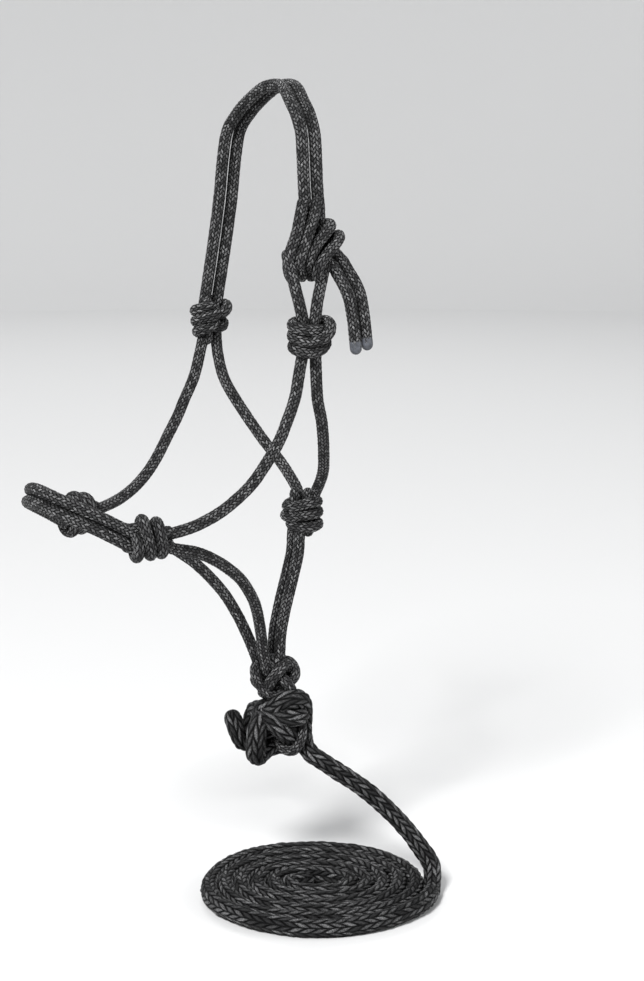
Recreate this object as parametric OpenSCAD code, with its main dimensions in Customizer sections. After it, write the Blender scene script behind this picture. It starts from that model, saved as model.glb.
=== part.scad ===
// Rope halter for a small horse, with a tied-on lead.
// +X points to the tail, -X to the nose, -Y to the horse's left, +Z up.
// The origin is the top of the poll, where the crown strands rest.

/* [Halter rope] */
// Thickness of the halter's rope
halter_rope_d = 7; // [6:0.25:7.25]
// Spacing of two strands that lie side by side
strand_pitch = 7.6; // [7.5:0.1:8]
// Length of the sealed tip on each free tail
tail_tip = 6; // [4:0.5:8]

/* [Lead rope] */
// Thickness of the lead rope
lead_rope_d = 11; // [9:0.5:12]
// Radius of the flat coil, to the middle of its outer turn
coil_r = 70; // [66:1:72]
// Height of the surface that the coil lies on
coil_floor = -500; // [-502:1:-500]
// Length of the sealed tip on the lead's knotted end
lead_tip = 5; // [3:0.5:7]

/* [Knots] */
// Height of a doubled overhand knot, across its strands
knot_height = 26; // [24:0.5:27]
// Depth of a doubled overhand knot, away from the head
knot_depth = 19; // [17:0.5:20]
// Size of the round fiador knot
fiador_d = 28; // [26:0.5:28]

/* [Smoothness] */
// Straight pieces between two points of a route
steps = 2; // [2:1:3]
// Sides of a strand
strand_sides = 8; // [8:1:12]
// Sides of the lead
lead_sides = 10; // [8:1:12]

/* [Hidden] */

rope_colour = [0.10, 0.10, 0.11];
lead_colour = [0.09, 0.09, 0.09];
tip_colour = [0.20, 0.20, 0.22];
knot_fn = 8;            // a knot is a rope pressed flat in places, so its facets are coarse
half_pitch = strand_pitch / 2;

// Knots: middle of each
cheek_knot_at = [-18, -57, -141];
nose_knot_at = [-117, -43, -252];
throat_knot_at = [13, 0, -258];
fiador_at = [-7, 0, -361];

// Line between the two crown strands, from the crown knot over the poll to the right cheek knot
crown_route = [
  [-12, -52, -77], [-11, -50, -68], [-11, -48, -54], [-10, -45, -35], [-9, -42, -24],
  [-7, -34, -14], [-5, -24, -6], [-2, -12, 1.5], [0, 0, halter_rope_d / 2], [-2, 12, 1.5],
  [-5, 24, -6], [-7, 34, -14], [-9, 42, -24], [-10, 46, -40], [-11, 50, -68],
  [-14, 54, -100], [-18, 57, -131]
];
eye_front_route = [[-31, -56, -97], [-28, -57, -110], [-25, -58, -122], [-22, -57.5, -133]];
eye_rear_route = [[-7, -56, -103], [-10, -57, -112], [-13, -58, -122], [-14, -57.5, -133]];

// The crown knot is a sheet bend: bands slant down across the eye, two of them turned from behind
crown_band_front = [
  [-18, -51, -63.5], [-23.5, -56, -72], [-26.5, -58, -81.5], [-29.5, -57, -92], [-30, -55, -100.5],
  [-26.5, -52, -106.5]
];
crown_band_rear = [
  [-9, -51, -64], [-15, -57, -73], [-21, -60, -82.5], [-25, -59, -92.5], [-24, -55, -100.5],
  [-19, -51, -106]
];
crown_turn_upper = [
  [-8, -46, -73], [1, -48, -71], [4.5, -53, -74], [-5.5, -58, -78], [-14, -61, -85],
  [-19.5, -60, -94], [-18.5, -55, -102], [-12.5, -51, -106]
];
crown_turn_lower = [
  [-6, -46, -79], [5, -48, -76], [9, -53, -78], [4, -57, -82], [-5, -61, -88.5],
  [-13.5, -62, -95.5], [-16.5, -59, -101.5], [-12, -53, -107], [-5, -49, -105]
];
crown_back = [[-23.5, -49, -101], [-17, -46, -94], [-4, -46, -86], [2, -47, -79.5]];
crown_core = [[-22, -54, -94], [-12, -53, -88], [-4, -53, -82]];

// Each tail swings where it leaves the crown knot
tail_front_pivot = [-1, -57, -101];
tail_rear_pivot = [6, -56, -98];
crown_exit_front = [[-14, -54, -90], [-8, -54, -94], tail_front_pivot];
crown_exit_rear = [[-6, -54, -86], [-1, -54, -90], tail_rear_pivot];
tail_front_route = [[1, -57.6, -104.5], [7, -60, -117], [10, -61, -131], [12, -61, -147]];
tail_rear_route = [[8.2, -56.7, -101.5], [15, -60, -115], [18, -61, -130], [20, -61, -145]];

// Left side of the head; the right side mirrors it
cheekpiece_route = [
  [-22, -57.5, -148], [-25, -58, -160], [-29, -59, -176], [-36, -60, -191], [-41, -60, -201],
  [-49, -59, -213], [-57, -57, -224], [-66, -54, -233], [-77, -51, -241], [-90, -48, -247],
  [-102, -45.5, -250], [-110, -44, -251]
];
throat_latch_route = [
  [-14, -57.5, -148], [-13, -57, -163], [-10, -54, -179], [-3, -48, -195], [6, -36, -215],
  [13, -24, -230], [16, -12, -243], [16, -5, -252]
];
chin_route = [
  [-110, -41, -257], [-100, -39, -261], [-85, -38, -265], [-72, -36, -271], [-58, -32, -280],
  [-46, -27, -290], [-34, -20, -305], [-27, -14, -319], [-22, -9, -333], [-19, -6, -343],
  [-16, -5, -352]
];
throat_strand_route = [
  [11, -4, -263], [9, -4, -270], [8, -4, -283], [4, -4, -298], [-1, -4, -315],
  [-5, -4, -333], [-6, -4, -352]
];
// Line between the two noseband strands, from the left nose knot to the middle of the nose
noseband_half = [
  [-131.5, -41, -250.5], [-144, -36.5, -243], [-155, -29, -237], [-164, -18, -232],
  [-168, 0, -229]
];
noseband_step = [1, 0, 3.7] * (strand_pitch / 7.6);

// Tie loop under the fiador knot, and the lead knotted to it
tie_loop_route = [
  [-2, 0, -378], [3, -3, -385], [6, -6, -393], [6, -8, -401], [2, -8, -408],
  [-3, -6, -407], [-3, 2, -401], [-3, 4, -390], [-9, 3, -378]
];
lead_knot_route = [
  [13.5, -8.5, -400], [15, -8, -393], [13, -10.5, -383], [4.5, -15.5, -375.5], [-6, -17, -374.5],
  [-11.5, -10.5, -380], [-11, 2, -384], [-1.5, 9, -387.5], [8.5, 6, -388], [11.5, -4.5, -387.5],
  [4, -14, -386.5], [-4.5, -14, -385], [-10, -7, -384.5], [-12, 1.5, -382], [-12.5, 6.5, -386.5],
  [-8.5, 3.5, -394], [-3, -0.5, -402], [3, -1.5, -409], [-1, 5, -413.5], [-10, 6.5, -412.5],
  [-19, 4, -412], [-22.5, 1, -403], [-20.5, 0.5, -392.5], [-14, 4, -385.5], [-12, 13.5, -386],
  [-14.5, 17.5, -397.5]
];
lead_end_route = [
  [-15, 17.5, -398.5], [-20.5, 16, -406.5], [-26.5, 13, -402.5], [-28.5, 14, -393.5], [-29, 16, -387.5]
];
lead_route = [
  [12.5, -12.8, -411.7], [17, -16, -415], [24, -20, -421], [33, -26, -428], [44, -33, -438],
  [54, -39, -449], [63, -45, -461], [70, -51, -473], [74, -57, -484], [74, -63, -491]
];
coil_at = [11, -25, coil_floor + lead_rope_d / 2];

function unit(v) = v / norm(v);
function mirrored(route) = [for (p = route) [p[0], -p[1], p[2]]];
function moved(route, v) = [for (p = route) p + v];
function reversed(route) = [for (i = [len(route) - 1 : -1 : 0]) route[i]];
function clamped(route, i) = route[min(max(i, 0), len(route) - 1)];

// A point of the smooth curve that passes through p1 and p2 (Catmull-Rom)
function between(p0, p1, p2, p3, t) =
  p1 + t / 2 * ((p2 - p0) + t * ((2 * p0 - 5 * p1 + 4 * p2 - p3) + t * (3 * p1 - p0 - 3 * p2 + p3)));

function smooth(route) = [
  for (i = [0 : len(route) - 2], s = [0 : steps - 1])
    between(clamped(route, i - 1), route[i], route[i + 1], clamped(route, i + 2), s / steps),
  route[len(route) - 1]
];

function headings(path) = [
  for (i = [0 : len(path) - 1]) unit(clamped(path, i + 1) - clamped(path, i - 1))
];

// A side direction at right angles to each heading, carried along so that the tube never twists
function square_to(v, heading) = unit(v - (v * heading) * heading);
function first_side(heading) = square_to(abs(heading[2]) < 0.9 ? [0, 0, 1] : [0, 1, 0], heading);
function sides_along(heads) = [
  for (i = 0, v = first_side(heads[0]); i < len(heads);
       i = i + 1, v = i < len(heads) ? square_to(v, heads[i]) : v) v
];

function ring(centre, heading, side, r, n) = [
  for (k = [0 : n - 1])
    centre + r * (cos(360 * k / n) * side + sin(360 * k / n) * cross(heading, side))
];

// A rope of thickness d swept along a route
module rope(route, d, n) {
  path = smooth(route);
  heads = headings(path);
  side = sides_along(heads);
  last = len(path) - 1;
  points = [for (i = [0 : last]) each ring(path[i], heads[i], side[i], d / 2, n)];
  walls = [
    for (i = [0 : last - 1], k = [0 : n - 1])
      [i * n + k, (i + 1) * n + k, (i + 1) * n + (k + 1) % n, i * n + (k + 1) % n]
  ];
  start = [for (k = [0 : n - 1]) k];
  end = [for (k = [n - 1 : -1 : 0]) last * n + k];
  polyhedron(points = points, faces = concat(walls, [start, end]));
}

// A rope through tight turns, where a swept tube would cut itself
module packed_rope(path, d) {
  for (i = [0 : len(path) - 2]) {
    hull() {
      translate(path[i]) sphere(d = d, $fn = knot_fn);
      translate(path[i + 1]) sphere(d = d, $fn = knot_fn);
    }
  }
}

module strand(route) {
  color(rope_colour) rope(route, halter_rope_d, strand_sides);
}

// Doubled overhand knot. Its strands run along X, and two turns wrap round them side by side.
module doubled_overhand() {
  high = (knot_height - halter_rope_d) / 2;
  deep = (knot_depth - halter_rope_d) / 2;
  lean = 3;
  core = 8;
  color(rope_colour) {
    for (turn_x = [-half_pitch * 0.9, half_pitch * 0.9]) {
      packed_rope([
        for (a = [0 : 30 : 360]) [turn_x + lean * sin(a), deep * cos(a), high * sin(a)]
      ], halter_rope_d);
    }
    packed_rope([[-core, 0, -3], [core, 0, -3]], halter_rope_d * 1.1);
    packed_rope([[-core, 0, 3], [core, 0, 3]], halter_rope_d * 1.1);
  }
}

module crown_strand_front() {
  strand(moved(crown_route, [-half_pitch, 0, 0]));
}

module crown_strand_rear() {
  strand(moved(crown_route, [half_pitch, 0, 0]));
}

module crown_knot() {
  color(rope_colour) {
    for (route = [crown_band_front, crown_band_rear, crown_turn_upper, crown_turn_lower, crown_back,
                  crown_core, crown_exit_front, crown_exit_rear]) {
      packed_rope(route, halter_rope_d);
    }
  }
}

// Sealed end of a tail: a short rounded plug that carries on from the tail's last point
module tail_end(route) {
  last = route[len(route) - 1];
  way = unit(last - route[len(route) - 2]);
  drop = acos(way[2]);
  turn = atan2(way[1], way[0]);
  color(tip_colour) translate(last) rotate([0, drop, turn]) union() {
    cylinder(d = halter_rope_d, h = tail_tip - halter_rope_d / 2, $fn = 32);
    translate([0, 0, tail_tip - halter_rope_d / 2]) sphere(d = halter_rope_d, $fn = 32);
  }
}

module tail_front() {
  strand(tail_front_route);
}

module tail_front_tip() {
  tail_end(tail_front_route);
}

module tail_rear() {
  strand(tail_rear_route);
}

module tail_rear_tip() {
  tail_end(tail_rear_route);
}

module eye_leg_front() {
  strand(eye_front_route);
}

module eye_leg_rear() {
  strand(eye_rear_route);
}

module left_cheek_knot() {
  translate(cheek_knot_at) rotate([0, -90, 0]) doubled_overhand();
}

module right_cheek_knot() {
  mirror([0, 1, 0]) left_cheek_knot();
}

module left_cheekpiece() {
  strand(cheekpiece_route);
}

module right_cheekpiece() {
  strand(mirrored(cheekpiece_route));
}

module noseband(step) {
  right_half = reversed(mirrored([for (i = [0 : len(noseband_half) - 2]) noseband_half[i]]));
  strand(moved(concat(noseband_half, right_half), step));
}

module noseband_upper() {
  noseband(noseband_step);
}

module noseband_lower() {
  noseband(-noseband_step);
}

module left_nose_knot() {
  translate(nose_knot_at) rotate([0, 0, 180]) doubled_overhand();
}

module right_nose_knot() {
  mirror([0, 1, 0]) left_nose_knot();
}

module left_throat_latch() {
  strand(throat_latch_route);
}

module right_throat_latch() {
  strand(mirrored(throat_latch_route));
}

module throat_knot() {
  translate(throat_knot_at) rotate([0, 90, 0]) rotate([90, 0, 0]) doubled_overhand();
}

module throat_strand_left() {
  strand(throat_strand_route);
}

module throat_strand_right() {
  strand(mirrored(throat_strand_route));
}

module left_chin_strand() {
  strand(chin_route);
}

module right_chin_strand() {
  strand(mirrored(chin_route));
}

// The fiador knot is a ball of rope that winds three times over and under round its middle
module fiador_knot() {
  winds = 3;
  lobes = 4;
  reach = (fiador_d - halter_rope_d) / 2;
  color(rope_colour) translate(fiador_at) {
    packed_rope([
      for (a = [0 : 24 : 360 * winds])
        let (lift = sin(a * lobes / winds), out = 1 - 0.45 * pow(lift, 2))
          reach * [out * cos(a), -out * sin(a), lift]
    ], halter_rope_d);
    sphere(r = reach * 0.85, $fn = 12);
  }
}

module tie_loop() {
  strand(tie_loop_route);
}

module lead_knot() {
  color(lead_colour) packed_rope(lead_knot_route, lead_rope_d);
}

module lead_knot_end() {
  tip = lead_end_route[len(lead_end_route) - 1];
  color(lead_colour) packed_rope(lead_end_route, lead_rope_d);
  color(tip_colour) translate(tip + [-0.5, 0, lead_tip - lead_rope_d / 2 + 2])
    sphere(d = lead_rope_d, $fn = knot_fn);
}

module lead_rope() {
  color(lead_colour) rope(lead_route, lead_rope_d, lead_sides);
}

// The outer shape of the flat coil
module lead_coil() {
  r = lead_rope_d / 2;
  color(lead_colour) translate(coil_at) rotate_extrude($fn = 96) {
    translate([0, -r]) square([coil_r, lead_rope_d]);
    translate([coil_r, 0]) intersection() {
      circle(r = r, $fn = 48);
      translate([0, -r]) square([r, lead_rope_d]);
    }
  }
}

crown_strand_front();
crown_strand_rear();
crown_knot();
tail_front();
tail_front_tip();
tail_rear();
tail_rear_tip();
eye_leg_front();
eye_leg_rear();
left_cheek_knot();
right_cheek_knot();
left_cheekpiece();
right_cheekpiece();
noseband_upper();
noseband_lower();
left_nose_knot();
right_nose_knot();
left_throat_latch();
right_throat_latch();
throat_knot();
throat_strand_left();
throat_strand_right();
left_chin_strand();
right_chin_strand();
fiador_knot();
tie_loop();
lead_knot();
lead_knot_end();
lead_rope();
lead_coil();
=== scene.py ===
# %% [markdown]
# # A rope halter with its lead
#
# The real thing is one long dark rope, knotted by hand into a halter, and a thicker
# rope that is tied to it and coiled on the ground. There is no metal or leather. All
# that the eye gets is rope, so this lesson is about rope: how it runs, how it packs
# into a knot, and how its braid catches the light.
#
# The CAD model of the halter is loaded first. Its nodes say where each strand and knot
# is. Every piece made here takes the place of one or two of those nodes.

import math

import bpy
import numpy as np
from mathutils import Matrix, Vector


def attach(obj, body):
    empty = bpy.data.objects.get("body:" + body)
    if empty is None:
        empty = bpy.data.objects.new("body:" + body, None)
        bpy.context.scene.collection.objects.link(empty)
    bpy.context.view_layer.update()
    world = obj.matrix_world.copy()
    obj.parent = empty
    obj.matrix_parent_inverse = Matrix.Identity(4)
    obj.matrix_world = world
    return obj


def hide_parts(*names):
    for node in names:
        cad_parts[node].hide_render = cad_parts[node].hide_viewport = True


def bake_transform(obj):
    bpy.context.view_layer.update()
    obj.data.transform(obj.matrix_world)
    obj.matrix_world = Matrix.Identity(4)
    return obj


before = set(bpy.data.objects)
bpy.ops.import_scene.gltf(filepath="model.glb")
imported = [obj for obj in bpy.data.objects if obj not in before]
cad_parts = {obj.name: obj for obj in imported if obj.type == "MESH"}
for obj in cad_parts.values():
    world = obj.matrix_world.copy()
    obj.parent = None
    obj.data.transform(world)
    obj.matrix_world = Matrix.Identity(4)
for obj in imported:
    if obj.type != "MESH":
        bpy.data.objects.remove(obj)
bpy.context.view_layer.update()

# %% [markdown]
# ## Camera
#
# A long lens from about 1.3 m away keeps the far side of the halter nearly as large as
# the near side. The camera stands level with the top of the head, on the left and in
# front, and looks a little down. Its aim is given as a direction, because nothing in
# the scene sits exactly in the middle of the picture.

# %% Camera
CAMERA_PLACE = Vector((-0.7048, -1.1279, 0.006))
CAMERA_AIM = Vector((0.5356, 0.8242, -0.1840))
LENS_MM = 80.37
SENSOR_MM = 36

camera_data = bpy.data.cameras.new("camera")
camera_data.lens = LENS_MM
camera_data.sensor_width = SENSOR_MM
camera = bpy.data.objects.new("camera", camera_data)
camera.location = CAMERA_PLACE
camera.rotation_mode = "QUATERNION"
camera.rotation_quaternion = CAMERA_AIM.to_track_quat("-Z", "Y")
bpy.context.scene.collection.objects.link(camera)
bpy.context.scene.camera = camera
print("camera at", tuple(round(v, 3) for v in CAMERA_PLACE), "lens", LENS_MM, "mm")

# %% [markdown]
# ## Routes
#
# A rope is drawn by the line through its middle. A few given points are enough,
# because a Catmull-Rom curve passes through every one of them. The points are in
# millimetres, as on a maker's drawing, and are turned into metres in one place. The
# curve is then cut into even steps, so that each stitch of the braid is equally long.

# %% Route helpers
MM = 0.001


def smooth(points, per_gap=10):
    """A curve through all the points (Catmull-Rom)."""
    p = np.asarray(points, float)
    p = np.vstack([2 * p[0] - p[1], p, 2 * p[-1] - p[-2]])
    t = np.linspace(0, 1, per_gap, endpoint=False)[:, None]
    curve = [
        p[i]
        + t / 2 * (p[i + 1] - p[i - 1])
        + t**2 * (p[i - 1] - 2.5 * p[i] + 2 * p[i + 1] - p[i + 2] / 2)
        + t**3 / 2 * (3 * p[i] - p[i - 1] - 3 * p[i + 1] + p[i + 2])
        for i in range(1, len(p) - 2)
    ]
    return np.vstack([*curve, p[-2:-1]])


def lengths_along(line):
    steps = np.linalg.norm(np.diff(line, axis=0), axis=1)
    return np.concatenate([[0], np.cumsum(steps)])


def even_steps(line, step):
    """The same line, cut into equal steps of about that size."""
    s = lengths_along(line)
    at = np.linspace(0, s[-1], max(3, round(s[-1] / step) + 1))
    return np.stack([np.interp(at, s, line[:, k]) for k in range(3)], axis=1)


def reach_in(points, start, end):
    """A route made longer at both ends, so that it runs on inside its knots."""
    p = np.asarray(points, float)
    a, b = p[0] - p[1], p[-1] - p[-2]
    first = p[0] + a / np.linalg.norm(a) * start
    last = p[-1] + b / np.linalg.norm(b) * end
    return np.vstack([first, p, last])


def mirrored(points):
    return np.asarray(points, float) * (1, -1, 1)


# %% [markdown]
# ## The braid as a shape
#
# A braided rope is a tube of slanting yarns. They lie in columns that run along the
# rope, and the slant changes side from one column to the next, as in herringbone. So
# the height of the surface depends on two numbers: which column a point is in, and how
# far along the rope it is. Both numbers are kept as a UV map, and the material reads
# far along the rope it is. Both numbers are kept as a UV map, and the material reads
# them again later for the finer yarn detail.
HALTER_ROPE = {
    "thick": 7.3, "columns": 12, "stitch": 2.9, "slant": 0.55, "relief": 0.42,
    "sides": 48, "ring_gap": 0.5,
}
LEAD_ROPE = {
    "thick": 12.1, "columns": 10, "stitch": 6.8, "slant": 0.85, "relief": 1.5,
    "sides": 56, "ring_gap": 1.0,
}
STITCH_SPREAD = 0.35
QUARTER_STITCH = 0.25
EDGE_DROP = 0.75


def braid_height(column_at, stitch_at, slant):
    """0 in the grooves between yarns, up to 1 on top of a yarn, no two quite as high."""
    column = np.floor(column_at)
    across = column_at - column
    side = np.where(column % 2 < 0.5, -1.0, 1.0)
    along = stitch_at + side * slant * (across - 0.5) + QUARTER_STITCH * side
    stitch = np.floor(along)
    part = along - stitch
    loose = np.modf(np.abs(np.sin(12.9898 * column + 78.233 * stitch)) * 437.585)[0]
    hump = np.sqrt(1 - (2 * part - 1) ** 2) * (1 - EDGE_DROP * (2 * across - 1) ** 4)
    return hump * (1 - STITCH_SPREAD * loose)


# %% [markdown]
# ## From a line to a rope
#
# A ring of points is carried along the line. Its side direction is passed on from ring
# to ring, so that the rope never twists by itself. The radius follows the braid height.
# Both ends are closed with a few smaller rings and one last point, since an open tube
# would show its inside.

# %% Rope mesh
CAP_SHARES = (0.35, 0.62, 0.82, 0.95)


def side_directions(heading):
    side = np.zeros_like(heading)
    v = np.array((0.0, 0, 1)) if abs(heading[0, 2]) < 0.9 else np.array((0.0, 1, 0))
    for i, h in enumerate(heading):
        v = v - (v @ h) * h
        v /= np.linalg.norm(v)
        side[i] = v
    return side


def with_caps(line, radius):
    """The line with extra places past both ends, and how thick the rope is at each."""
    caps = np.array(CAP_SHARES)
    a, b = line[0] - line[1], line[-1] - line[-2]
    a, b = a / np.linalg.norm(a), b / np.linalg.norm(b)
    front = line[0] + a * (caps[::-1, None] * radius)
    back = line[-1] + b * (caps[:, None] * radius)
    girth = np.sqrt(1 - caps**2)
    share = np.concatenate([girth[::-1], np.ones(len(line)), girth])
    return np.vstack([front, line, back]), share, line[0] + a * radius, line[-1] + b * radius


def rope_geometry(points, kind, offset=0.0, per_gap=10, thick=None):
    """Vertices, faces and corner UVs of one rope, in metres."""
    thick = thick or kind["thick"]
    line, share, first, last = with_caps(
        even_steps(smooth(points, per_gap), kind["ring_gap"]), thick / 2
    )
    heading = np.gradient(line, axis=0)
    heading /= np.linalg.norm(heading, axis=1)[:, None]
    side = side_directions(heading)
    n, rings = kind["sides"], len(line)
    turn = 2 * math.pi * np.arange(n) / n
    column_at = kind["columns"] * np.arange(n) / n
    stitch_at = lengths_along(line) / kind["stitch"] + offset
    height = braid_height(column_at[None, :], stitch_at[:, None], kind["slant"])
    radius = (thick / 2 + kind["relief"] * (height - 1)) * share[:, None]
    out = (
        np.cos(turn)[None, :, None] * side[:, None, :]
        + np.sin(turn)[None, :, None] * np.cross(heading, side)[:, None, :]
    )
    skin = (line[:, None, :] + radius[:, :, None] * out).reshape(-1, 3)
    verts = np.vstack([skin, first, last])
    i, k = np.meshgrid(np.arange(rings - 1), np.arange(n), indexing="ij")
    i, k = i.ravel(), k.ravel()
    here, ahead, beside = i * n, (i + 1) * n, (k + 1) % n
    quads = np.stack([here + k, here + beside, ahead + beside, ahead + k], 1)
    tips = [(rings * n, (j + 1) % n, j) for j in range(n)]
    end = (rings - 1) * n
    tips += [(rings * n + 1, end + j, end + (j + 1) % n) for j in range(n)]
    u = kind["columns"] / n * np.stack([k, k + 1, k + 1, k], 1)
    v = np.stack([stitch_at[i], stitch_at[i], stitch_at[i + 1], stitch_at[i + 1]], 1)
    uv = np.stack([u, v], 2).reshape(-1, 2)
    tip_uv = np.repeat([[0.5, stitch_at[0]], [0.5, stitch_at[-1]]], 3 * n, axis=0)
    return verts * MM, quads.tolist() + tips, np.vstack([uv, tip_uv])


def rope_piece(name, ropes):
    """One object from one or more rope geometries."""
    verts, faces, uvs, start = [], [], [], 0
    for v, f, uv in ropes:
        faces += [[start + j for j in face] for face in f]
        verts.append(v)
        uvs.append(uv)
        start += len(v)
    mesh = bpy.data.meshes.new(name)
    mesh.from_pydata(np.vstack(verts).tolist(), [], faces)
    layer = mesh.uv_layers.new(name="braid")
    layer.data.foreach_set("uv", np.vstack(uvs).astype(np.float32).ravel())
    mesh.polygons.foreach_set("use_smooth", [True] * len(mesh.polygons))
    piece = bpy.data.objects.new(name, mesh)
    bpy.context.scene.collection.objects.link(piece)
    print(name, "has", len(mesh.polygons), "faces")
    return piece


# %% [markdown]
# ## The lead
#
# The lead leaves the knot under the jaw, sags down to the right, lands on the edge of
# its own coil and winds inwards. A flat coil is a spiral: the radius drops in each turn
# by a little less than the rope is thick, so that the turns press together. The last
# turns are drawn out to one side, as when the rope is wound round a hand and laid down.
# They curl more tightly than a real rope would, down to half its own thickness at the
# inner end.

# %% Lead route
FLOOR = -500.0
LEAD_FREE = [
    (10, -6.5, -401.5), (10, -9, -406.5), (12, -12.5, -411), (17, -16, -415), (24, -20, -421),
    (33, -26, -428), (44, -33, -438), (54, -39, -449), (63, -45, -461), (70, -51, -473),
    (74, -57, -484),
]
COIL_MIDDLE = np.array((8.8, -23.3, FLOOR + LEAD_ROPE["thick"] / 2))
COIL_RADIUS = 72.8
TURN_PITCH = 11.2
COIL_START = math.radians(-37)
INNER_RADIUS = 9.5
DRAWN_OUT = 5.0
DRAWN_DIRECTION = np.array((0.838, -0.545, 0.0))
COIL_TURNS = (COIL_RADIUS - INNER_RADIUS) / TURN_PITCH
POINTS_PER_TURN = 30
LEAD_PER_GAP = 6


def coil_points():
    """The spiral, with a slight waver (mm, and how often it swings per radian)."""
    share = np.linspace(0, 1, int(COIL_TURNS * POINTS_PER_TURN))
    turned = COIL_START - 2 * math.pi * COIL_TURNS * share
    radius = COIL_RADIUS - TURN_PITCH * COIL_TURNS * share
    ring = np.stack([np.cos(turned), np.sin(turned), 0 * turned], axis=1)
    pull = DRAWN_OUT * share * (ring @ DRAWN_DIRECTION)
    waver = 0.35 * np.sin(turned * 5.3) + 0.25 * np.sin(turned * 2.1)
    points = COIL_MIDDLE + (radius + waver)[:, None] * ring + pull[:, None] * DRAWN_DIRECTION
    points[:, 2] += 0.3 * np.sin(turned * 3.7)
    return points


lead_points = np.vstack([LEAD_FREE, coil_points()])

# %% Lead piece
lead = rope_piece("lead", [rope_geometry(lead_points, LEAD_ROPE, per_gap=LEAD_PER_GAP)])
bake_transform(lead)
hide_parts("lead_rope", "lead_coil")

# %% [markdown]
# ## Long strands
#
# Fourteen strands run between the knots. Each one carries on a few millimetres inside the
# knot at its end, so no gap opens up there. Left and right are mirror images, but each
# strand starts at another place in the braid, so no two of them look the same.

# %% Strand routes
CROWN_GAP_LINE = np.array([
    (-12, -52, -77), (-11, -50, -68), (-11, -48, -54), (-10, -45, -35), (-9, -42, -24),
    (-7, -34, -14), (-5, -24, -6), (-2, -12, 1.5), (0, 0, 3.5), (-2, 12, 1.5),
    (-5, 24, -6), (-7, 34, -14), (-9, 42, -24), (-10, 46, -40), (-11, 50, -68),
    (-14, 54, -100), (-18, 57, -131),
], float)
CROWN_HALF_PITCH = 4.5
PAIR_THICK = 7.6
EYE_FRONT = [(-31, -56, -97), (-28, -57, -110), (-25, -58, -122), (-22, -57.5, -133)]
EYE_REAR = [(-7, -56, -103), (-10, -57, -112), (-13, -58, -122), (-14, -57.5, -133)]
CHEEKPIECE = [
    (-22, -57.5, -148), (-25, -58, -160), (-29, -59, -176), (-36, -60, -191), (-41, -60, -201),
    (-49, -59, -213), (-57, -57, -224), (-66, -54, -233), (-77, -51, -241), (-90, -48, -247),
    (-102, -45.5, -250), (-110, -44, -251),
]
THROAT_LATCH = [
    (-14, -57.5, -148), (-13, -57, -163), (-10, -54, -179), (-3, -48, -195), (6, -36, -215),
    (13, -24, -230), (16, -12, -243), (16, -5, -252),
]
CHIN = [
    (-110, -41, -257), (-100, -39, -261), (-85, -38, -265), (-72, -36, -271), (-58, -32, -280),
    (-46, -27, -290), (-34, -20, -305), (-27, -14, -319), (-22, -9, -333), (-19, -6, -343),
    (-16, -5, -352),
]
THROAT_STRAND = [
    (11, -4, -263), (9, -4, -270), (8, -4, -283), (4, -4, -298), (-1, -4, -315),
    (-5, -4, -333), (-6, -4, -352),
]
NOSEBAND_HALF = np.array([
    (-131.5, -41, -250.5), (-144, -36.5, -243), (-155, -29, -237), (-164, -18, -232),
    (-168, 0, -229),
], float)
NOSEBAND_STEP = np.array((1, 0, 3.5))
noseband_line = np.vstack([NOSEBAND_HALF, mirrored(NOSEBAND_HALF[-2::-1])])

# %% Strand pieces
BRAID_SHIFT = 17.3
STRANDS = {
    "crown_strand_front": (CROWN_GAP_LINE - (CROWN_HALF_PITCH, 0, 0), 4, 6),
    "crown_strand_rear": (CROWN_GAP_LINE + (CROWN_HALF_PITCH, 0, 0), 4, 6),
    "eye_leg_front": (EYE_FRONT, 4, 6),
    "eye_leg_rear": (EYE_REAR, 4, 6),
    "left_cheekpiece": (CHEEKPIECE, 5, 6),
    "right_cheekpiece": (mirrored(CHEEKPIECE), 5, 6),
    "left_throat_latch": (THROAT_LATCH, 5, 4),
    "right_throat_latch": (mirrored(THROAT_LATCH), 5, 4),
    "throat_strand_left": (THROAT_STRAND, 4, 3),
    "throat_strand_right": (mirrored(THROAT_STRAND), 4, 3),
    "left_chin_strand": (CHIN, 5, 3),
    "right_chin_strand": (mirrored(CHIN), 5, 3),
    "noseband_upper": (noseband_line + NOSEBAND_STEP, 5, 5),
    "noseband_lower": (noseband_line - NOSEBAND_STEP, 5, 5),
}


def halter_piece(name, ropes, body="halter"):
    piece = rope_piece(name + "_rope", ropes)
    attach(piece, body)
    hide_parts(name)
    return piece


halter_pieces = []
for number, (node, (route, start, end)) in enumerate(STRANDS.items()):
    thick = PAIR_THICK if node.startswith(("crown", "noseband")) else HALTER_ROPE["thick"]
    geometry = rope_geometry(
        reach_in(route, start, end), HALTER_ROPE, offset=BRAID_SHIFT * number, thick=thick
    )
    body = "noseband" if node.startswith("noseband") else "halter"
    halter_pieces.append(halter_piece(node, [geometry], body))

# %% [markdown]
# ## Rope inside a knot
#
# In a tight knot the strands press on each other until they lie side by side. Given
# points only come close to that. So the strands of a knot are settled: wherever
# two of them are nearer than a rope is thick, both are pushed apart by half of what is
# missing, and each strand is then smoothed a little, as a stiff rope would be. The gap
# that is asked for is about a millimetre less than a rope is thick. So after a few
# dozen rounds the ropes lie pressed into each other a little, and no gaps are left.

# %% Settling
SETTLE_STEP = 2.0
SAME_ROPE_REACH = 1.6
PUSH_SHARE = 0.6
PUSH_GAIN = 1.5
ROPE_SHIFT = 11.7


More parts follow.
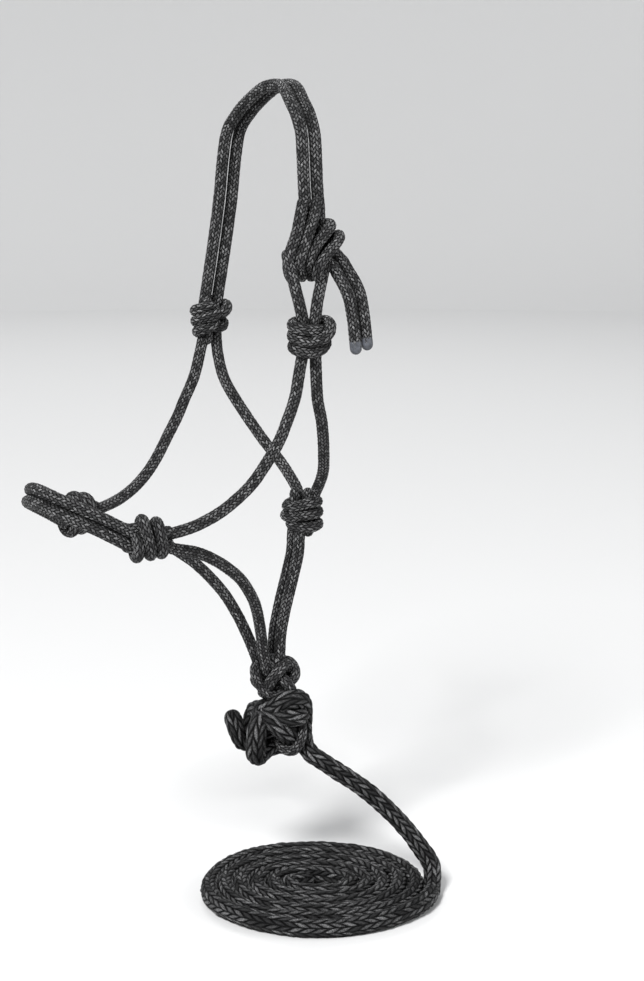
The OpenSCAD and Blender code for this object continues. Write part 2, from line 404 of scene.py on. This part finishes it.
def settled(routes, gap, rounds=60, stiffness=0.25):
    lines = [even_steps(smooth(r), SETTLE_STEP) for r in routes]
    owner = np.repeat(np.arange(len(lines)), [len(line) for line in lines])
    p = np.vstack(lines)
    inner = np.array([
        0 < i < len(p) - 1 and owner[i - 1] == owner[i] == owner[i + 1] for i in range(len(p))
    ])
    middle = np.flatnonzero(inner)
    a, b = np.triu_indices(len(p), 1)
    apart = (owner[a] != owner[b]) | (b - a > SAME_ROPE_REACH * gap / SETTLE_STEP)
    a, b = a[apart], b[apart]
    for _ in range(rounds):
        away = p[a] - p[b]
        distance = np.linalg.norm(away, axis=1) + 1e-9
        near = distance < gap
        share = (gap - distance[near]) / distance[near] / 2 * PUSH_SHARE
        push = away[near] * share[:, None]
        move = np.zeros_like(p)
        hits = np.zeros(len(p))
        for ends, way in ((a[near], 1), (b[near], -1)):
            np.add.at(move, ends, way * push)
            np.add.at(hits, ends, 1)
        p[middle] += (move / np.maximum(1, hits)[:, None] * PUSH_GAIN)[middle]
        p[middle] += stiffness * ((p[middle - 1] + p[middle + 1]) / 2 - p[middle])
    return [p[owner == k] for k in range(len(lines))]


def knot_ropes(routes, kind, gap, offset, **options):
    return [
        rope_geometry(line, kind, offset=offset + ROPE_SHIFT * k, per_gap=4)
        for k, line in enumerate(settled(routes, gap, **options))
    ]


# %% [markdown]
# ## Doubled overhand knots
#
# Cheek, nose and throat have the same knot: a pair of strands tied in an overhand. What
# shows is a set of hoops that hug the pair, each one slanting a little differently. A
# hoop is given by three points on its front (across, up) and by how far it stands out,
# and goes round the back by itself. The frame of each knot says which way is across,
# up and out from the head.

# %% Overhand knots
def hoop(left, middle, right, deep):
    left, middle, right = (np.array(v, float) for v in (left, middle, right))
    back = (left + right) / 2
    steps = [
        (back + (0, 1.5), -0.45),
        (left * 0.6 + back * 0.4, -0.8),
        (left, -0.1),
        (left * 0.55 + middle * 0.45, 0.75),
        (middle, 1.0),
        (right * 0.55 + middle * 0.45, 0.75),
        (right, -0.1),
        (right * 0.6 + back * 0.4, -0.8),
        (back - (0, 1.5), -0.45),
    ]
    return [(flat[0], flat[1], out * deep) for flat, out in steps]


def placed(points, middle, across, out):
    """Points given as (across, up, out) put into the halter's own axes."""
    across, out = np.array(across), np.array(out)
    up = np.array((0.0, 0, 1))
    p = np.asarray(points, float)
    return np.array(middle) + p[:, :1] * across + p[:, 1:2] * up + p[:, 2:] * out


CHEEK_HOOPS = [
    ((-10, 8), (-1, 3), (7.5, 4), 6.0),
    ((-10.5, 1.5), (0, -4.5), (11, 8), 8.0),
    ((-10, -5), (1, -9.5), (10.5, -0.5), 7.0),
]
CHEEK_CORE = [[(-4, 12, 0), (-3.6, 0, 1), (-4, -12, 0)], [(4, 12, 0), (3.6, 0, 1), (4, -12, 0)]]
NOSE_HOOPS = [
    ((-6.5, 4), (-6.5, -2), (-7.5, -9.5), 6.5),
    ((-4.5, 9.5), (-1.5, 0), (1.5, -10), 8.5),
    ((4.5, 9.5), (6, 1), (8, -7.5), 7.0),
]
NOSE_CORE = [[(-12, 4, 0), (0, 3.6, 0), (12, 3, 0)], [(-12, -4, 0), (0, -3.6, 0), (12, -4, 0)]]
THROAT_HOOPS = [
    ((-9, 2.5), (2, 6), (9.5, 7.5), 6.5),
    ((-11, -1.5), (1, -1), (12, 1), 7.5),
    ((-5.5, -6), (4, -8.5), (10.5, -6), 7.0),
]
OVERHANDS = {
    "left_cheek_knot": (
        (-18, -57, -141), (0.94, -0.34, 0), (-0.34, -0.94, 0), CHEEK_HOOPS, CHEEK_CORE
    ),
    "left_nose_knot": (
        (-119, -43, -252), (0.97, -0.24, 0), (-0.24, -0.97, 0), NOSE_HOOPS, NOSE_CORE
    ),
    "throat_knot": (
        (13, 0, -258), (0.84, -0.54, 0), (-0.54, -0.84, 0), THROAT_HOOPS, CHEEK_CORE
    ),
}
KNOT_GAP = 6.3
OVERHAND_ROUNDS = 25
KNOT_SHIFT = 5.1
RIGHT_KNOT_START = 63.0

for number, (node, (middle, across, out, hoops, core)) in enumerate(OVERHANDS.items()):
    routes = [placed(hoop(*h), middle, across, out) for h in hoops]
    routes += [placed(c, middle, across, out) for c in core]
    ropes = knot_ropes(
        routes, HALTER_ROPE, KNOT_GAP, KNOT_SHIFT * number, rounds=OVERHAND_ROUNDS
    )
    halter_pieces.append(halter_piece(node, ropes))
    if node.startswith("left"):
        other = node.replace("left", "right")
        routes = [mirrored(r) for r in routes]
        ropes = knot_ropes(
            routes, HALTER_ROPE, KNOT_GAP, RIGHT_KNOT_START + number, rounds=OVERHAND_ROUNDS
        )
        halter_pieces.append(halter_piece(other, ropes))

# %% [markdown]
# ## Crown knot and fiador knot
#
# The crown is closed with a sheet bend: the pair of crown strands slants down across
# the eye, one strand comes back below it, and both tails leave from underneath. The
# fiador knot under the jaw is a ball in which one rope weaves over and under round the
# middle several times, and a curve in three dimensions says exactly that. A short thick
# core fills the ball, so that nothing shows through between its turns.

# %% Crown knot
CROWN_ROUTES = [
    [(-18, -51, -63.5), (-23.5, -56, -72), (-26.5, -58, -81.5), (-29.5, -57, -92),
     (-30, -55, -100.5), (-26.5, -52, -106.5)],
    [(-9, -51, -64), (-15, -57, -73), (-21, -60, -82.5), (-25, -59, -92.5), (-24, -55, -100.5),
     (-19, -51, -106)],
    [(-8, -46, -82), (-2.5, -47, -78.5), (-0.5, -53, -78), (-6.5, -58, -80.5), (-14.5, -61, -86),
     (-19.5, -60, -94), (-18.5, -55, -102), (-12.5, -51, -106)],
    [(-6, -46, -88), (3, -48, -83), (6.5, -53, -82), (3, -57.5, -84.5), (-5, -61, -90),
     (-13, -62, -96.5), (-16, -59, -102), (-12, -53, -107), (-5, -49, -105)],
    [(-23.5, -49, -101), (-17, -46, -94), (-4, -46, -86), (2, -47, -79.5)],
    [(-22, -54, -94), (-12, -53, -88), (-4, -53, -82)],
    [(-14, -54, -90), (-8, -54, -94), (-1, -57, -101)],
    [(-6, -54, -86), (-1, -54, -90), (6, -56, -98)],
]
CROWN_KNOT_START, CROWN_ROUNDS = 2.2, 20
ropes = knot_ropes(
    CROWN_ROUTES, HALTER_ROPE, KNOT_GAP, CROWN_KNOT_START, rounds=CROWN_ROUNDS
)
halter_pieces.append(halter_piece("crown_knot", ropes))

# %% Fiador knot
FIADOR_MIDDLE = np.array((-7, 0, -361.0))
FIADOR_REACH = 10.7
WINDS, LOBES = 3, 4
FIADOR_WIDER = 1.12
FIADOR_TAPER = 0.45
FIADOR_GAP = 6.4
FIADOR_START, FIADOR_ROUNDS = 8.8, 30
FIADOR_CORE_THICK = 17
FIADOR_CORE = FIADOR_MIDDLE + [(0, 0, 7), (0.5, 0, 0), (0, 0, -7)]


def fiador_line():
    a = np.radians(np.arange(0, 360 * WINDS, 12))
    lift = np.sin(a * LOBES / WINDS)
    out = FIADOR_WIDER * (1 - FIADOR_TAPER * lift**2)
    ring = np.stack([out * np.cos(a), -out * np.sin(a), lift], axis=1)
    return FIADOR_MIDDLE + FIADOR_REACH * ring


ropes = knot_ropes(
    [fiador_line()], HALTER_ROPE, FIADOR_GAP, FIADOR_START, rounds=FIADOR_ROUNDS
)
ropes.append(rope_geometry(FIADOR_CORE, HALTER_ROPE, thick=FIADOR_CORE_THICK))
halter_pieces.append(halter_piece("fiador_knot", ropes))

# %% [markdown]
# ## Tails, tie loop and lead knot
#
# The two tails hang free below the crown knot, each with its end melted into a hard
# tip. Below the fiador knot the rope makes one loop, and the lead is tied into it. The
# lead is drawn a little thicker inside its knot, so that its turns close up.

# %% Tails
TAILS = {
    "tail_front": [(1, -57.6, -104.5), (7, -60, -117), (10, -61, -131), (12, -61, -147)],
    "tail_rear": [(8.2, -56.7, -101.5), (15, -60, -115), (18, -61, -130), (20, -61, -145)],
}
TIP_LENGTH = 6.0
TIP_THICK = 7.2
TIP_ROUNDING = 3.5
TAIL_START, TAIL_SHIFT = 41.0, 9
MELTED = dict(HALTER_ROPE, relief=0.08)

tip_pieces = []
for number, (node, route) in enumerate(TAILS.items()):
    shift = TAIL_START + TAIL_SHIFT * number
    ropes = [rope_geometry(reach_in(route, 4, 0.5), HALTER_ROPE, offset=shift)]
    halter_pieces.append(halter_piece(node, ropes, node))
    end = np.array(route[-1], float)
    way = (end - route[-2]) / np.linalg.norm(end - route[-2])
    straight = TIP_LENGTH - TIP_ROUNDING
    tip_line = [end - way, end + way * straight / 2, end + way * straight]
    tip = rope_piece(node + "_sealed_tip", [rope_geometry(tip_line, MELTED, thick=TIP_THICK)])
    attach(tip, node)
    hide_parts(node + "_tip")
    tip_pieces.append(tip)

# %% Tie loop and lead knot
TIE_LOOP = [
    (-2, 0, -378), (4, -2.5, -385.5), (6, -9, -391.5), (4, -13, -398.5), (0, -12, -406),
    (-4, -7, -406.5), (-3, 2, -402), (-3, 4.5, -390.5), (-9, 3, -378),
]
LEAD_KNOT = [
    (10, -5.5, -402), (11, -3.5, -395.5), (10, -5.5, -385.5), (4.5, -11.5, -375.5),
    (-5.5, -14, -372), (-10, -8.5, -376.5), (-10.5, 1.5, -382.5), (-1.5, 9, -388),
    (6.5, 7, -389), (8, -2, -388), (2.5, -12.5, -384.5), (-5.5, -13, -383.5),
    (-10, -7.5, -381.5), (-12, 1.5, -380.5), (-14, 3.5, -383.5), (-12, -5, -387.5),
    (-7.5, -9, -392.5), (0.5, -7, -399.5), (3, -0.5, -406), (-1, 6.5, -407.5),
    (-8.5, 7.5, -409), (-18.5, 3, -411), (-21.5, -0.5, -401.5), (-20, -0.5, -392),
    (-14, 4, -385.5), (-12.5, 14, -385.5), (-14.5, 17.5, -397.5),
]
LEAD_KNOT_BACK = [(-14, 12, -398), (-8, 9, -397), (0, 6, -396), (6, 1, -394), (9, -3, -393)]
LEAD_END = [
    (-15, 17.5, -398.5), (-19.5, 15.5, -405), (-25, 13, -401), (-27.5, 13.5, -394),
    (-28.5, 15.5, -388.5),
]
PACKED_LEAD = 13.6
LOOP_START, LEAD_KNOT_START = 71, 19

loop = rope_geometry(reach_in(TIE_LOOP, 3, 3), HALTER_ROPE, offset=LOOP_START)
halter_pieces.append(halter_piece("tie_loop", [loop], "lead_hitch"))
lead_pieces = [lead]
for node, routes, thick in (
    ("lead_knot", [LEAD_KNOT, LEAD_KNOT_BACK], PACKED_LEAD),
    ("lead_knot_end", [LEAD_END], LEAD_ROPE["thick"]),
):
    ropes = [rope_geometry(r, LEAD_ROPE, offset=LEAD_KNOT_START, thick=thick) for r in routes]
    piece = rope_piece(node + "_rope", ropes)
    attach(piece, "lead_hitch")
    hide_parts(node)
    lead_pieces.append(piece)

# %% [markdown]
# ## Yarn detail, as a node group
#
# The mesh carries the braid's large ridges. The yarns themselves are bundles of glossy
# filaments, which catch the light as small bright flecks. The group below works out,
# from the same two numbers in the UV map, how high a point lies on its yarn, a shade
# for each stitch, and thin lines that run along the yarn. Halter rope and lead rope
# both use it, each with its own slant and fineness.

# %% Node helpers
def add(tree, kind, inputs=(), **settings):
    node = tree.nodes.new(kind)
    for key, value in settings.items():
        setattr(node, key, value)
    for index, value in enumerate(inputs):
        if value is None:
            continue
        if isinstance(value, bpy.types.NodeSocket):
            tree.links.new(value, node.inputs[index])
        else:
            node.inputs[index].default_value = value
    return node


def calc(tree, operation, *inputs):
    return add(tree, "ShaderNodeMath", inputs, operation=operation).outputs[0]


def remap(tree, value, low, high, to_low, to_high):
    return add(tree, "ShaderNodeMapRange", (value, low, high, to_low, to_high)).outputs[0]


# %% Yarn group
def yarn_group():
    tree = bpy.data.node_groups.new("braided_yarn", "ShaderNodeTree")
    face = tree.interface
    face.new_socket("Braid UV", in_out="INPUT", socket_type="NodeSocketVector")
    face.new_socket("Slant", in_out="INPUT", socket_type="NodeSocketFloat")
    face.new_socket("Filaments", in_out="INPUT", socket_type="NodeSocketFloat")
    for name in ("Height", "Stitch Shade", "Filament"):
        face.new_socket(name, in_out="OUTPUT", socket_type="NodeSocketFloat")
    given = tree.nodes.new("NodeGroupInput").outputs
    xyz = add(tree, "ShaderNodeSeparateXYZ", (given[0],)).outputs
    column = calc(tree, "FLOOR", xyz[0])
    across = calc(tree, "SUBTRACT", xyz[0], column)
    side = calc(tree, "MULTIPLY_ADD", calc(tree, "MODULO", column, 2.0), 2.0, -1.0)
    lean = calc(tree, "MULTIPLY_ADD", calc(tree, "SUBTRACT", across, 0.5), given[1], 0.25)
    along = calc(tree, "MULTIPLY_ADD", side, lean, xyz[1])
    stitch = calc(tree, "FLOOR", along)
    part = calc(tree, "SUBTRACT", along, stitch)
    from_middle = calc(tree, "ABSOLUTE", calc(tree, "MULTIPLY_ADD", part, 2.0, -1.0))
    hump = calc(tree, "SUBTRACT", 1.0, calc(tree, "POWER", from_middle, 2.5))
    from_centre = calc(tree, "ABSOLUTE", calc(tree, "MULTIPLY_ADD", across, 2.0, -1.0))
    edge = calc(tree, "MULTIPLY_ADD", calc(tree, "POWER", from_centre, 4.0), -0.8, 1.0)
    height = calc(tree, "MULTIPLY", hump, edge)
    cell = add(tree, "ShaderNodeCombineXYZ", (column, stitch, 0.37)).outputs[0]
    shade = add(tree, "ShaderNodeTexWhiteNoise", (cell,), noise_dimensions="3D").outputs["Value"]
    lines = calc(tree, "MULTIPLY", part, given[2])
    across_spot = calc(tree, "MULTIPLY", across, 2.2)
    stitch_spot = calc(tree, "MULTIPLY", shade, 50.0)
    spot = add(tree, "ShaderNodeCombineXYZ", (across_spot, lines, stitch_spot))
    filament = add(tree, "ShaderNodeTexNoise", (spot.outputs[0],)).outputs["Fac"]
    answer = tree.nodes.new("NodeGroupOutput")
    for socket, value in zip(answer.inputs, (height, shade, filament)):
        tree.links.new(value, socket)
    return tree


YARN = yarn_group()
print("node group", YARN.name, "with", len(YARN.nodes), "nodes")

# %% [markdown]
# ## Rope material
#
# The rope is black nylon, dark grey on the yarns. The grooves between the yarns get
# painted shade, nearly black, and where filaments lie flat and shine the colour gets
# painted highlights, brighter flecks which are also made a little glossier. The flecks
# differ from stitch to stitch. Wide, weak noise makes some stretches a little dustier
# than others. Where ropes lie close together, within CREASE_REACH metres, the colour is
# darkened as painted shade: little light gets into such a crease, and deep black there
# makes a knot readable.

# %% Rope material
CREASE_REACH = 0.006
NYLON_INDEX = 1.24


def rope_material(name, slant, filaments, groove_shade, yarn, painted_glint_colour, bump_mm):
    material = bpy.data.materials.new(name)
    material.use_nodes = True
    tree = material.node_tree
    shader = tree.nodes["Principled BSDF"]
    uv = add(tree, "ShaderNodeUVMap", uv_map="braid").outputs[0]
    group = add(tree, "ShaderNodeGroup", node_tree=YARN)
    tree.links.new(uv, group.inputs[0])
    group.inputs[1].default_value = slant
    group.inputs[2].default_value = filaments
    height, shade, filament = group.outputs
    # Painted shade: the colour runs from the yarn tone on the tops down to near black in the
    # grooves.
    base = add(tree, "ShaderNodeMix", data_type="RGBA")
    tree.links.new(remap(tree, height, 0.15, 0.8, 0.0, 1.0), base.inputs["Factor"])
    base.inputs["A"].default_value = (*groove_shade, 1)
    base.inputs["B"].default_value = (*yarn, 1)
    # Painted highlights: bright flecks on the yarn tops, where filaments would catch the light;
    # the same mask also lowers the roughness.
    painted_glints = remap(tree, filament, 0.48, 0.62, 0.0, 1.0)
    painted_glint_mask = calc(tree, "MULTIPLY", painted_glints, remap(tree, shade, 0.2, 1.0, 0.08, 1.0))
    painted_glint_mask = calc(tree, "MULTIPLY", painted_glint_mask, remap(tree, height, 0.4, 0.95, 0.0, 1.0))
    painted_glint_mix = add(tree, "ShaderNodeMix", data_type="RGBA")
    tree.links.new(painted_glint_mask, painted_glint_mix.inputs["Factor"])
    tree.links.new(base.outputs["Result"], painted_glint_mix.inputs["A"])
    painted_glint_mix.inputs["B"].default_value = (*painted_glint_colour, 1)
    place = add(tree, "ShaderNodeTexCoord").outputs["Object"]
    dust = add(tree, "ShaderNodeTexNoise", (place, None, 38.0, 3.0)).outputs["Fac"]
    # Painted shade: the colour is darkened where other rope lies within CREASE_REACH, in the
    # creases of knots and between strands.
    crease_shade = add(tree, "ShaderNodeAmbientOcclusion", (None, CREASE_REACH), samples=8).outputs["AO"]
    dusty = remap(tree, dust, 0.3, 0.7, 0.85, 1.2)
    value = calc(tree, "MULTIPLY", dusty, remap(tree, crease_shade, 0.25, 0.75, 0.12, 1.0))
    tint = add(tree, "ShaderNodeHueSaturation", (0.5, 1.0, value, 1.0))
    tree.links.new(painted_glint_mix.outputs["Result"], tint.inputs["Color"])
    tree.links.new(tint.outputs[0], shader.inputs["Base Color"])
    tree.links.new(remap(tree, painted_glint_mask, 0.0, 1.0, 0.50, 0.30), shader.inputs["Roughness"])
    relief = calc(tree, "MULTIPLY_ADD", filament, 0.3, height)
    bump = add(tree, "ShaderNodeBump")
    bump.inputs["Strength"].default_value = 0.9
    bump.inputs["Distance"].default_value = bump_mm * MM
    tree.links.new(relief, bump.inputs["Height"])
    tree.links.new(bump.outputs[0], shader.inputs["Normal"])
    shader.inputs["IOR"].default_value = NYLON_INDEX
    return material


halter_black = rope_material(
    "halter_black_nylon",
    slant=HALTER_ROPE["slant"],
    filaments=7.0,
    groove_shade=(0.0008, 0.0008, 0.0009),
    yarn=(0.012, 0.012, 0.0125),
    painted_glint_colour=(0.44, 0.44, 0.445),
    bump_mm=0.6,
)
lead_black = rope_material(
    "lead_black_nylon",
    slant=LEAD_ROPE["slant"],
    filaments=9.0,
    groove_shade=(0.0004, 0.0004, 0.0005),
    yarn=(0.0040, 0.0040, 0.0043),
    painted_glint_colour=(0.36, 0.36, 0.365),
    bump_mm=1.1,
)
for piece in halter_pieces:
    piece.data.materials.append(halter_black)
for piece in lead_pieces:
    piece.data.materials.append(lead_black)
print(len(halter_pieces), "pieces of halter rope,", len(lead_pieces), "of lead rope")

# %% [markdown]
# ## Melted tips
#
# A flame turns the end of a nylon rope into a hard, slightly shiny plug. It is smooth
# with shallow bumps, and paler than the rope.

# %% Tip material
def melted_material():
    material = bpy.data.materials.new("melted_nylon")
    material.use_nodes = True
    tree = material.node_tree
    shader = tree.nodes["Principled BSDF"]
    place = add(tree, "ShaderNodeTexCoord").outputs["Object"]
    lumps = add(tree, "ShaderNodeTexNoise", (place, None, 420.0, 3.0)).outputs["Fac"]
    colour = add(tree, "ShaderNodeMix", data_type="RGBA")
    tree.links.new(remap(tree, lumps, 0.35, 0.65, 0.0, 1.0), colour.inputs["Factor"])
    colour.inputs["A"].default_value = (0.035, 0.038, 0.045, 1)
    colour.inputs["B"].default_value = (0.075, 0.080, 0.095, 1)
    tree.links.new(colour.outputs["Result"], shader.inputs["Base Color"])
    tree.links.new(remap(tree, lumps, 0.3, 0.7, 0.38, 0.6), shader.inputs["Roughness"])
    bump = add(tree, "ShaderNodeBump")
    bump.inputs["Strength"].default_value = 0.6
    bump.inputs["Distance"].default_value = 0.4 * MM
    tree.links.new(lumps, bump.inputs["Height"])
    tree.links.new(bump.outputs[0], shader.inputs["Normal"])
    return material


melted = melted_material()
for piece in tip_pieces:
    piece.data.materials.append(melted)
print(len(tip_pieces), "melted tips")

# %% [markdown]
# ## Floor and light
#
# A pale bowl of paper lies under the halter and rises all round it, so that every view
# has a plain ground. There is one large soft light high on the left, a weaker one on
# the right, a third from behind, and a pale sky. Black rope needs broad lights: their
# reflections are what draws its braid.

# %% Floor
FLAT_RADIUS, RISE_RADIUS = 3.6, 1.3
RISE_STEP = 10


def paper_bowl(steps=96):
    a = np.radians(np.arange(0, 91, RISE_STEP))
    reach = FLAT_RADIUS + RISE_RADIUS * np.sin(a)
    profile = list(zip(reach, RISE_RADIUS * (1 - np.cos(a))))
    turn = 2 * math.pi * np.arange(steps) / steps
    verts = [(r * math.cos(t), r * math.sin(t), FLOOR * MM + h) for r, h in profile for t in turn]
    faces = [tuple(range(steps))]
    for ring in range(len(profile) - 1):
        for k in range(steps):
            low, high = ring * steps, (ring + 1) * steps
            faces.append((low + k, high + k, high + (k + 1) % steps, low + (k + 1) % steps))
    mesh = bpy.data.meshes.new("paper_bowl")
    mesh.from_pydata(verts, [], faces)
    mesh.polygons.foreach_set("use_smooth", [False] + [True] * (len(faces) - 1))
    floor = bpy.data.objects.new("paper_bowl", mesh)
    bpy.context.scene.collection.objects.link(floor)
    material = bpy.data.materials.new("pale_paper")
    material.use_nodes = True
    shader = material.node_tree.nodes["Principled BSDF"]
    shader.inputs["Base Color"].default_value = (0.64, 0.64, 0.64, 1)
    shader.inputs["Roughness"].default_value = 0.9
    mesh.materials.append(material)
    return floor


floor = paper_bowl()
print("floor with", len(floor.data.polygons), "faces at", FLOOR * MM, "m")

# %% Lights
TARGET = Vector((-0.05, -0.02, -0.25))


def soft_light(name, place, size, watts):
    data = bpy.data.lights.new(name, "AREA")
    data.shape = "DISK"
    data.size = size
    data.energy = watts
    light = bpy.data.objects.new(name, data)
    light.location = place
    light.rotation_mode = "QUATERNION"
    light.rotation_quaternion = (TARGET - Vector(place)).to_track_quat("-Z", "Y")
    bpy.context.scene.collection.objects.link(light)
    return light


soft_light("key", (-2.6, -1.9, 2.6), 1.1, 290)
soft_light("fill", (2.5, -1.9, 1.2), 2.2, 44)
soft_light("rim", (1.2, 2.9, 2.5), 1.9, 50)
world = bpy.data.worlds.new("pale_room")
world.use_nodes = True
world.node_tree.nodes["Background"].inputs["Color"].default_value = (0.96, 0.98, 1.0, 1)
world.node_tree.nodes["Background"].inputs["Strength"].default_value = 0.36
bpy.context.scene.world = world
bpy.context.scene.view_settings.view_transform = "Standard"
print("lights:", sorted(light.name for light in bpy.data.lights))
